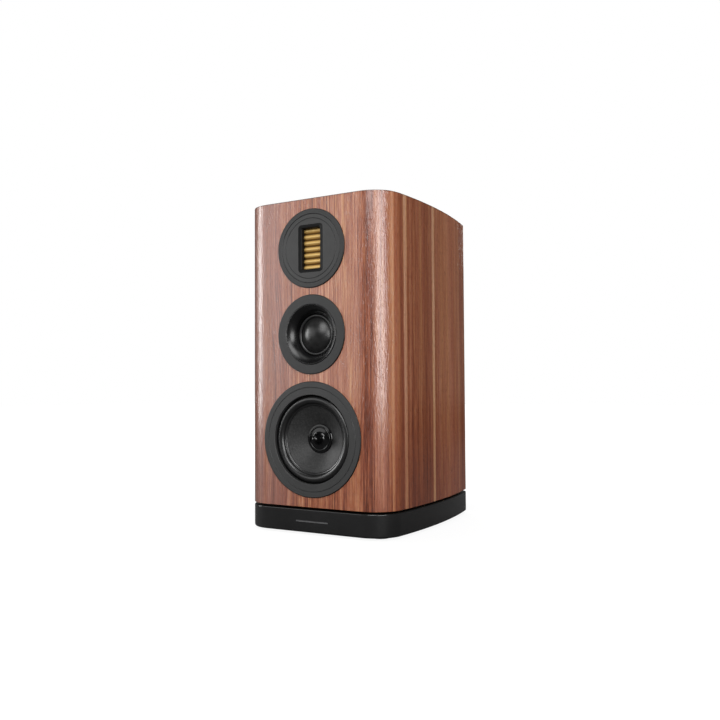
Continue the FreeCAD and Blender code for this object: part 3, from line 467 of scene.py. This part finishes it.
def turned_metal(name, height, rough, edge, grooves, base):
    """Satin graphite coating over fine turned lines about a driver's axis, with painted shade, near black,
    round its edge and in its grooves.  edge and grooves are radii in millimetres."""
    shader = Shader(name)
    radius = shader.radius_from(height)
    lines = shader.noise(shader.point(shader.math("DIVIDE", radius, 0.0016), 0.0, 0.0), 1.0, 3.0, 0.7)
    cloud = shader.noise(shader.object_point(), 60.0, 3.0)
    mixed = shader.math("MULTIPLY_ADD", lines, 0.75, shader.math("MULTIPLY", cloud, 0.25))
    coat = shader.ramp(mixed, [(0.3, [c * 0.68 for c in base]), (0.7, [c * 1.32 for c in base])])
    # Painted shade: near black on the outer edge wall and in the grooves.
    black = shader.remap(radius, (edge - 1.7) * MM, (edge - 0.6) * MM, 0.0, 0.92)
    for groove in grooves:
        off = shader.from_place(radius, groove * MM)
        black = shader.math("MAXIMUM", black, shader.remap(off, 0.9 * MM, 0.3 * MM, 0.0, 0.6))
    shader.set("Base Color", shader.blend(black, coat, (0.004, 0.004, 0.004)))
    shader.set("Roughness", shader.remap(lines, 0.3, 0.7, rough - 0.06, rough + 0.06))
    shader.bump(lines, 0.00003, 0.6)
    shader.bump(shader.noise(shader.object_point(), 5200.0, 2.0), 0.00001, 0.4)
    return shader.material


def plain(name, base, rough, spread=0.18, grain=900.0, relief=0.00002, stretch=(1, 1, 1), **sockets):
    """Moulded, painted or rubbery surface: cloudy colour, uneven gloss and a fine relief."""
    shader = Shader(name)
    place = shader.stretch(stretch)
    cloud = shader.noise(place, grain / 18, 4.0, 0.6)
    fine = shader.noise(place, grain, 3.0, 0.6)
    dark = [c * (1 - spread) for c in base]
    light = [min(1.0, c * (1 + spread)) for c in base]
    mixed = shader.math("MULTIPLY_ADD", cloud, 0.6, shader.math("MULTIPLY", fine, 0.4))
    shader.set("Base Color", shader.ramp(mixed, [(0.35, dark), (0.65, light)]))
    shader.set("Roughness", shader.remap(cloud, 0.3, 0.7, max(rough - 0.05, 0.02), rough + 0.05))
    shader.bump(fine, relief, 0.7)
    for key, value in sockets.items():
        shader.set(key.replace("_", " "), value)
    return shader.material


CONE_THREAD = 1.9 * MM    # pitch of the cone's weave, of the ribs near its edge, and of the dome's weave
CONE_RIB = 2.6 * MM
DOME_THREAD = 0.55 * MM


def woven_cone():
    """Black plain-weave cloth set in resin: threads run across and up, whatever the cone's slope."""
    shader = Shader("woven_cone")
    x, _, z = shader.axes()
    rise = shader.math("SUBTRACT", z, WOOFER_Z)
    weave = shader.math("MULTIPLY", shader.wave(x, CONE_THREAD), shader.wave(rise, CONE_THREAD))
    slub = shader.noise(shader.object_point(), 420.0, 3.0, 0.7)
    tone = shader.math("MULTIPLY_ADD", weave, 0.20, slub)
    shader.set("Base Color", shader.ramp(tone, [(0.3, 0.012), (0.52, 0.021), (0.75, 0.040)]))
    shader.set("Roughness", shader.remap(slub, 0.3, 0.7, 0.42, 0.54))
    shader.set("Specular IOR Level", 0.36)
    shader.bump(weave, 0.00003, 0.7)
    shader.bump(slub, 0.00004, 0.5)
    radius = shader.radius_from(WOOFER_Z)
    ribs = shader.wave(radius, CONE_RIB)
    near_edge = shader.remap(radius, 34 * MM, 39 * MM, 0.0, 1.0)
    shader.bump(shader.math("MULTIPLY", ribs, near_edge), 0.00012, 0.6)
    return shader.material


def dome_cloth():
    """Fine black cloth under a satin dressing."""
    shader = Shader("dome_cloth")
    x, _, z = shader.axes()
    weave = shader.math("MULTIPLY", shader.wave(x, DOME_THREAD), shader.wave(z, DOME_THREAD))
    cloud = shader.noise(shader.object_point(), 140.0, 3.0)
    shader.set("Base Color", shader.ramp(cloud, [(0.3, 0.008), (0.7, 0.013)]))
    shader.set("Roughness", shader.remap(cloud, 0.3, 0.7, 0.27, 0.36))
    shader.bump(weave, 0.00001, 0.6)
    shader.bump(cloud, 0.00006, 0.3)
    return shader.material


def gold_film():
    """Gold-coloured film, bright on the crests, with painted shade that browns it in the folds and darkens
    its ends, and fine scuffs along them.
    """
    shader = Shader("gold_film")
    x, y, _ = shader.axes()
    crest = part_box("tweeter_diaphragm")[0].y
    # Painted shade: darker the further back the film lies in a fold.
    depth = shader.remap(y, crest, crest + 3.2 * MM, 0.0, 1.0)
    scuff = shader.noise(shader.stretch((60, 200, 900)), 1.0, 3.0)
    # Painted shade: darker towards the ends of the pleats.
    ends = shader.remap(shader.math("ABSOLUTE", x), 0.012, 0.0165, 0.0, 0.45)
    tone = shader.math("MULTIPLY_ADD", scuff, 0.25, shader.math("SUBTRACT", depth, 0.12))
    shader.set("Base Color", shader.ramp(shader.math("ADD", tone, ends), [
        (0.0, (0.80, 0.54, 0.20)), (0.3, (0.66, 0.41, 0.12)), (0.6, (0.34, 0.19, 0.05)),
        (0.9, (0.16, 0.09, 0.025)),
    ]))
    shader.set("Metallic", 0.35)
    shader.set("Roughness", shader.remap(scuff, 0.3, 0.7, 0.30, 0.42))
    shader.bump(scuff, 0.00004, 0.5)
    return shader.material


def wound_wire(name, base, axis, pitch, rough=0.3):
    """Close turns of enamelled wire: axis is 0, 1 or 2 for the direction the turns stack in."""
    shader = Shader(name)
    place = shader.axes()[axis]
    turns = shader.math("ABSOLUTE", shader.wave(place, 2 * pitch))
    cloud = shader.noise(shader.object_point(), 160.0, 3.0)
    tone = shader.math("MULTIPLY_ADD", cloud, 0.3, shader.math("MULTIPLY", turns, 0.7))
    dark = [c * 0.3 for c in base]
    shader.set("Base Color", shader.ramp(tone, [(0.1, dark), (0.6, base)]))
    shader.set("Metallic", 0.85)
    shader.set("Roughness", shader.remap(cloud, 0.3, 0.7, rough - 0.05, rough + 0.08))
    shader.bump(turns, pitch / 3, 0.8)
    return shader.material


# ---- mesh helpers ----
TURNS = 256


def arc_points(start, through, end, count):
    """Points on the circle through three places, from the first to the last."""
    (ax, ay), (bx, by), (cx, cy) = start, through, end
    d = 2 * (ax * (by - cy) + bx * (cy - ay) + cx * (ay - by))
    sa, sb, sc = ax * ax + ay * ay, bx * bx + by * by, cx * cx + cy * cy
    centre = ((sa * (by - cy) + sb * (cy - ay) + sc * (ay - by)) / d,
              (sa * (cx - bx) + sb * (ax - cx) + sc * (bx - ax)) / d)
    radius = math.hypot(ax - centre[0], ay - centre[1])
    angles = [math.atan2(py - centre[1], px - centre[0]) for px, py in (start, through, end)]
    turn = (angles[2] - angles[0]) % math.tau
    if (angles[1] - angles[0]) % math.tau > turn:
        turn -= math.tau
    steps = [angles[0] + turn * n / count for n in range(count + 1)]
    return [(centre[0] + radius * math.cos(a), centre[1] + radius * math.sin(a)) for a in steps]


def make_piece(name, points, faces, material):
    """Smooth-shaded mesh object with its faces turned outwards."""
    mesh = bpy.data.meshes.new(name)
    mesh.from_pydata(points, [], faces)
    solid = bmesh.new()
    solid.from_mesh(mesh)
    bmesh.ops.recalc_face_normals(solid, faces=solid.faces)
    solid.to_mesh(mesh)
    solid.free()
    mesh.shade_smooth()
    mesh.materials.append(material)
    return link(bpy.data.objects.new(name, mesh))


def lathe(name, height, profile, material, relief=None):
    """Closed outline of (radius, y) in metres turned about a driver's axis.  A first and last point
    of no radius close the piece on the axis.  relief moves a point along y by its x and z."""
    on_axis = profile[0][0] < 1e-7
    rows = profile[1:-1] if on_axis else profile
    points, faces = [], []
    for radius, y in rows:
        for n in range(TURNS):
            angle = math.tau * n / TURNS
            px, pz = radius * math.cos(angle), radius * math.sin(angle)
            points.append((px, y + (relief(px, pz) if relief else 0.0), height + pz))
    pairs = len(rows) - 1 if on_axis else len(rows)
    for row in range(pairs):
        after = (row + 1) % len(rows)
        for n in range(TURNS):
            m = (n + 1) % TURNS
            faces.append((row * TURNS + n, row * TURNS + m, after * TURNS + m, after * TURNS + n))
    if on_axis:
        for end, row in ((profile[0], 0), (profile[-1], len(rows) - 1)):
            middle = len(points)
            points.append((0.0, end[1], height))
            for n in range(TURNS):
                faces.append((middle, row * TURNS + n, row * TURNS + (n + 1) % TURNS))
    return make_piece(name, points, faces, material)


def shell(front, thickness):
    """Closed outline of a thin skin from the points of its front, thickened towards the rear."""
    return front + [(radius, y + thickness) for radius, y in reversed(front)]


def bend_between(piece, height, fixed, moving, inner, outer):
    """Makes a ring follow the fixed body at its outer radius and the moving one at its inner."""
    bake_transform(piece, fixed, moving, start=(0, 0, 0), end=(0, 1, 0))
    weights = piece.data.attributes["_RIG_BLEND"].data
    for vertex, weight in zip(piece.data.vertices, weights):
        radius = math.hypot(vertex.co.x, vertex.co.z - height)
        part = min(max((outer - radius) / (outer - inner), 0.0), 1.0)
        weight.value = part * part * (3 - 2 * part)


# ---- assembling ----
def paint(material, *names):
    """Gives CAD nodes' objects one material."""
    for name in names:
        data = nodes[name].data
        data.materials.clear()
        data.materials.append(material)


def paint_cabinet():
    wrap, back, top = walnut_materials()
    paint(wrap, "walnut_wrap")
    paint(back, "walnut_back")
    paint(top, "walnut_top")
    board = plain("fibreboard", (0.36, 0.25, 0.155), 0.75, 0.22, 1500.0, 0.00008)
    paint(board, "front_baffle", "side_panels", "top_panel", "bottom_panel", "back_panel")
    paint(board, "shelf_brace")
    lacquer = plain("gloss_black_lacquer", (0.009, 0.009, 0.0092), 0.18, 0.25, 260.0, 0.000004,
                    Coat_Weight=0.5, Coat_Roughness=0.06)
    paint(lacquer, "plinth_body")
    rubber = plain("foot_rubber", (0.02, 0.02, 0.02), 0.7, 0.2, 1800.0, 0.00005)
    paint(rubber, "rubber_feet")
    steel = plain("bolt_steel", (0.42, 0.42, 0.44), 0.32, 0.15, 900.0, 0.00002, Metallic=1.0)
    paint(steel, "plinth_bolts")
    badge = plain("badge_metal", (0.13, 0.13, 0.133), 0.42, 0.15, 1500.0, 0.00001, (8, 1, 1),
                  Metallic=0.6)
    paint(badge, "badge_bar")


def paint_trims():
    """Turned rings and faces.  Each has its axis height, edge, grooves (mm) and grey."""
    trims = {
        "trim_tweeter": ("tweeter_trim_ring", TWEETER_Z, 0.46, 54.0, (), TRIM_GREY),
        "face_tweeter": ("tweeter_faceplate", TWEETER_Z, 0.50, 48.2, (41.0,), FACE_GREY),
        "trim_mid": ("mid_trim_ring", MID_Z, 0.46, 54.0, (), TRIM_GREY),
        "trim_woofer": ("woofer_trim_ring", WOOFER_Z, 0.46, 78.0, (70.0,), WOOFER_GREY),
    }
    for name, (node, height, rough, edge, grooves, base) in trims.items():
        paint(turned_metal(name, height, rough, edge, grooves, base), node)


def paint_drivers():
    horn = plain("horn_moulding", (0.0018, 0.0018, 0.002), 0.27, 0.2, 700.0, 0.000006)
    paint(horn, "mid_horn")
    gloss = plain("gloss_black_moulding", (0.0016, 0.0016, 0.0018), 0.13, 0.2, 500.0, 0.000006)
    paint(gloss, "woofer_centre_cap")
    window = plain("window_frame", (0.004, 0.004, 0.004), 0.55, 0.2, 1500.0, 0.00002,
                   Specular_IOR_Level=0.15)
    paint(window, "tweeter_window_frame")
    matte = plain("matte_black_moulding", (0.014, 0.014, 0.015), 0.52, 0.2, 2600.0, 0.00004)
    paint(matte, "port_tube", "plinth_spacers", "terminal_plate")
    paint(matte, "tweeter_rear_cup", "mid_rear_chamber")
    cast = plain("cast_frame", (0.007, 0.007, 0.0075), 0.5, 0.2, 2200.0, 0.00006)
    paint(cast, "woofer_basket")
    wire = wound_wire("voice_coil_wire", (0.50, 0.19, 0.08), 1, 0.0004)
    paint(wire, "woofer_voice_coil", "mid_voice_coil")
    steel = plain("motor_steel", (0.52, 0.53, 0.55), 0.34, 0.12, 700.0, 0.00003, Metallic=1.0)
    paint(steel, "tweeter_housing", "mid_top_plate", "mid_yoke", "woofer_top_plate", "woofer_yoke")
    ferrite = plain("ferrite", (0.035, 0.035, 0.038), 0.62, 0.25, 1200.0, 0.00006)
    paint(ferrite, "tweeter_magnets", "mid_magnet", "woofer_magnet")


def paint_electrics():
    plated = plain("gold_plate", (0.86, 0.60, 0.22), 0.2, 0.1, 900.0, 0.00001, Metallic=1.0)
    paint(plated, "binding_post_studs", "binding_post_nuts", "jumper_links")
    red = plain("cap_red", (0.33, 0.010, 0.010), 0.3, 0.15, 1500.0, 0.00002)
    black = plain("cap_black", (0.012, 0.012, 0.013), 0.3, 0.15, 1500.0, 0.00002)
    for post in ("hf_negative", "hf_positive", "lf_negative", "lf_positive"):
        paint(plated, "post_washer_" + post)
        paint(red if post.endswith("positive") else black, "post_cap_" + post)
    screw = plain("black_screw", (0.02, 0.02, 0.021), 0.38, 0.2, 1500.0, 0.00002, Metallic=0.6)
    paint(screw, "cabinet_screws")
    tag = plain("tinned_tag", (0.66, 0.63, 0.56), 0.35, 0.1, 900.0, 0.00002, Metallic=1.0)
    paint(tag, "driver_terminals")
    insulation = plain("lead_insulation", (0.05, 0.05, 0.055), 0.45, 0.2, 1500.0, 0.00003)
    paint(insulation, "wiring_harness")


def paint_crossover():
    board = plain("circuit_board", (0.03, 0.13, 0.055), 0.4, 0.2, 900.0, 0.00003)
    paint(board, "crossover_board")
    copper = wound_wire("coil_copper", (0.66, 0.26, 0.11), 1, 0.0011)
    paint(copper, "crossover_inductors")
    case = plain("capacitor_case", (0.42, 0.05, 0.03), 0.36, 0.15, 700.0, 0.00003)
    paint(case, "crossover_capacitors")
    ceramic = plain("resistor_ceramic", (0.72, 0.69, 0.62), 0.8, 0.12, 1600.0, 0.00008)
    paint(ceramic, "crossover_resistors")


# ---- soft pieces: sizes in millimetres, y counted back from the front ----
CONE_EDGE = (46.2, 7.6)    # radius and depth of the cone's slope at its edge and at its neck
CONE_NECK = (16.3, 23.6)
SPIDER_WAVE = 4.0          # pitch of the spider's corrugations


def profile_from(steps, fineness):
    """Outline from steps of radius and depth.  A step of four numbers is an arc through its first two."""
    points = [steps[0]]
    for step in steps[1:]:
        if len(step) == 4:
            points += arc_points(points[-1], step[:2], step[2:], fineness)[1:]
        else:
            points.append(step)
    return behind_front(points)


def behind_front(points):
    """Radius and depth in millimetres as radius and y in metres."""
    return [(radius * MM, FRONT_Y + y * MM) for radius, y in points]


def build_woofer_cone():
    """Woven cone with pressed ribs near its edge, following the CAD cone's slope."""
    def weave(px, pz):
        return 0.03 * MM * math.sin(math.tau * px / CONE_THREAD) * math.sin(math.tau * pz / CONE_THREAD)

    rows = 64
    front = [(CONE_EDGE[0] + 1.6, CONE_EDGE[1])]
    for n in range(rows + 1):
        radius, depth = (edge + (neck - edge) * n / rows for edge, neck in zip(CONE_EDGE, CONE_NECK))
        ribbed = 36.4 < radius < 44.2
        rib = 0.14 * math.sin(math.tau * radius * MM / CONE_RIB) if ribbed else 0.0
        front.append((radius, depth + rib))
    cone = lathe("woofer_cone_cloth", WOOFER_Z, behind_front(shell(front, 0.8)), woven_cone(), weave)
    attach(cone, "woofer_cone_assembly")
    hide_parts("woofer_cone")


def build_woofer_surround(rubber):
    """Half roll between two flat lips."""
    steps = [
        (60.1, 6.7), (60.1, 5.9), (59.2, 5.9), (58.9, 5.7), (53.3, 1.0, 47.9, 6.0), (47.2, 6.5),
        (45.3, 6.7), (45.3, 7.5), (48.3, 7.5), (53.3, 1.8, 58.2, 6.7),
    ]
    ring = lathe("woofer_surround_roll", WOOFER_Z, profile_from(steps, 28), rubber)
    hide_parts("woofer_surround")
    bend_between(ring, WOOFER_Z, "cabinet", "woofer_cone_assembly", 48.0 * MM, 57.2 * MM)


def build_mid_dome():
    """Cloth dome with a short skirt at its edge."""
    apex = 3.2
    base = 13.2
    radius = 24.0
    film = 0.4
    ball = (radius ** 2 + (base - apex) ** 2) / (2 * (base - apex))
    front = []
    rows = 40
    for n in range(rows + 1):
        r = radius * n / rows
        front.append((r, apex + ball - math.sqrt(ball ** 2 - r ** 2)))
    front.append((radius, base + 1.0))
    back = [(max(r - film * r / ball, 0.0), y + film) for r, y in reversed(front[:-1])]
    outline = front + [(radius - film, base + 1.0)] + back
    dome = lathe("mid_dome_cloth", MID_Z, behind_front(outline), dome_cloth())
    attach(dome, "mid_dome_assembly")
    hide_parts("mid_dome")


def build_mid_surround(rubber):
    """Small half roll round the dome."""
    base = 13.4
    inner = 24.05
    outer = 28.55
    middle = (inner + outer) / 2
    steps = [
        (inner, base), (middle, base - 2.3, outer, base), (outer - 0.55, base),
        (middle, base - 1.75, inner + 0.55, base),
    ]
    ring = lathe("mid_surround_roll", MID_Z, profile_from(steps, 20), rubber)
    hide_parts("mid_surround")
    bend_from = (inner + 0.5) * MM
    bend_to = (outer - 0.4) * MM
    bend_between(ring, MID_Z, "cabinet", "mid_dome_assembly", bend_from, bend_to)


def build_spider(cloth):
    """Corrugated disc in smooth waves.  Its depths are counted from its own middle."""
    inner = 16.4
    start = 18.2
    end = 36.2
    outer = 41.8
    cloth_half = 0.25
    low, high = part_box("woofer_spider")
    middle_y = (low.y + high.y) / 2
    front = [(inner, -cloth_half)]
    rows = 144
    for n in range(rows + 1):
        radius = start + (end - start) * n / rows
        rise = 1.1 * math.sin(math.tau * (radius - start) / SPIDER_WAVE)
        front.append((radius, -cloth_half - rise))
    front.append((outer, -cloth_half))
    outline = [(radius * MM, middle_y + y * MM) for radius, y in shell(front, 2 * cloth_half)]
    disc = lathe("woofer_spider_cloth", WOOFER_Z, outline, cloth)
    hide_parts("woofer_spider")
    bend_between(disc, WOOFER_Z, "cabinet", "woofer_cone_assembly", 17.0 * MM, 40.0 * MM)


def pleat_line(low_z, high_z):
    """Heights along the film, each with how far it lies back: 0 on a crest, 1 in a fold and on the
    tabs."""
    pleats = 7
    steps = 24
    tab = 2.0 * MM
    pitch = (high_z - low_z - 2 * tab) / pleats
    line = [(low_z, 1.0)]
    for n in range(pleats * steps + 1):
        share = (n % steps) / steps
        line.append((low_z + tab + n * pitch / steps, 1.0 - math.sin(math.pi * share) ** 0.9))
    line.append((high_z, 1.0))
    return line


def sheet_faces(columns, row):
    """Faces of a closed sheet: its front, its rear and its four edges.  The rear's points follow the
    front's."""
    sheet = row * (columns + 1)
    faces = []
    for c in range(columns):
        for n in range(row - 1):
            a = c * row + n
            quad = (a, a + row, a + row + 1, a + 1)
            faces += [quad, tuple(sheet + index for index in quad)]
        for a in (c * row, c * row + row - 1):
            faces.append((a, sheet + a, sheet + a + row, a + row))
    for c in (0, columns):
        for n in range(row - 1):
            a = c * row + n
            faces.append((a, sheet + a, sheet + a + 1, a + 1))
    return faces


def build_pleats():
    """Seven rounded pleats of film with a flat tab above and below, a little flatter at their ends."""
    low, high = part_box("tweeter_diaphragm")
    line = pleat_line(low.z, high.z)
    depth = high.y - low.y - 0.5 * MM
    film = 0.45 * MM
    columns = 30
    points = []
    for side in (0, 1):
        for c in range(columns + 1):
            x = low.x + (high.x - low.x) * c / columns
            close = min(c, columns - c) / 3
            ease = 1 - 0.16 * max(0.0, 1 - close) ** 2
            for z, back in line:
                points.append((x, low.y + depth * (1 - (1 - back) * ease) + side * film, z))
    film_piece = make_piece("tweeter_pleats", points, sheet_faces(columns, len(line)), gold_film())
    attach(film_piece, "cabinet")
    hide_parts("tweeter_diaphragm")


def build_soft_pieces():
    rubber = plain("surround_rubber", (0.006, 0.006, 0.0062), 0.32, 0.15, 1200.0, 0.000002,
                   Coat_Weight=0.35, Coat_Roughness=0.26)
    cloth = plain("spider_cloth", (0.42, 0.29, 0.11), 0.85, 0.25, 2400.0, 0.0001)
    build_woofer_cone()
    build_woofer_surround(rubber)
    build_mid_dome()
    build_mid_surround(rubber)
    build_spider(cloth)
    build_pleats()


make_camera()
make_world()
make_floor()
for softbox_name, softbox in SOFTBOXES.items():
    make_softbox(softbox_name, *softbox)
paint_cabinet()
paint_trims()
paint_drivers()
paint_electrics()
paint_crossover()
build_soft_pieces()
